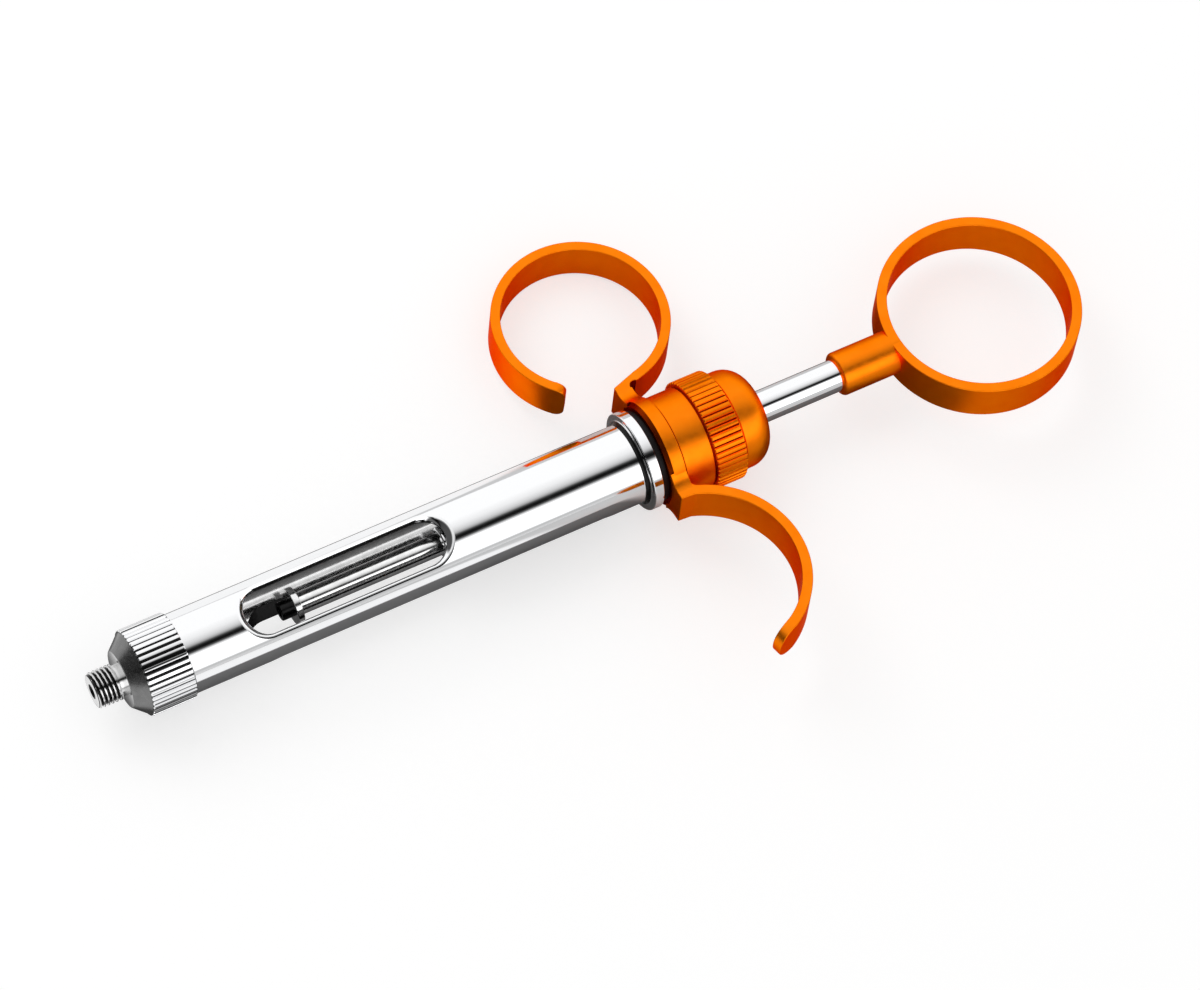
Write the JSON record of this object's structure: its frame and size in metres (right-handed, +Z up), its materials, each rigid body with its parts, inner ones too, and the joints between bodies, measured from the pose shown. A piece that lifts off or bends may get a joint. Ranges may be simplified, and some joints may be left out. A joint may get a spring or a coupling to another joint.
{
  "type": "dental aspirating syringe",
  "caption": "Metal cartridge syringe with a windowed barrel, a finger grip of one closed and one open ring, and a sliding piston with a thumb ring.",
  "frame": {"origin": "on the barrel axis, in the middle of the needle thread", "axes": "+X along the barrel towards the thumb ring, +Z up with the syringe lying on its side"},
  "size_m": [0.1587, 0.0729, 0.0168],
  "materials": {
    "bright_chrome": "mirror-bright chrome plating",
    "dark_steel": "turned steel, satin, darker on the cone and thread",
    "orange_anodised": "orange anodised aluminium, satin",
    "bronze": "plain bearing bronze",
    "black_rubber": "black rubber"
  },
  "bodies": {
    "barrel": {"barrel": "bright_chrome", "needle_adaptor": "dark_steel", "grip_washer": "black_rubber", "finger_grip": "orange_anodised", "knurled_cap": "orange_anodised", "guide_bush": "bronze"},
    "seal": {"rod_seal": "black_rubber"},
    "piston": {"piston_rod": "bright_chrome", "piston_disc": "bright_chrome", "thumb_ring": "orange_anodised"}
  },
  "joints": [
    {"name": "piston_spin", "type": "hinge", "parent": "barrel", "child": "seal", "pos_m": [0.09865, 0, 0], "axis": [1, 0, 0], "continuous": true},
    {"name": "piston_slide", "type": "slide", "parent": "seal", "child": "piston", "axis": [1, 0, 0], "range_m": [-0.0134, 0.058]}
  ]
}
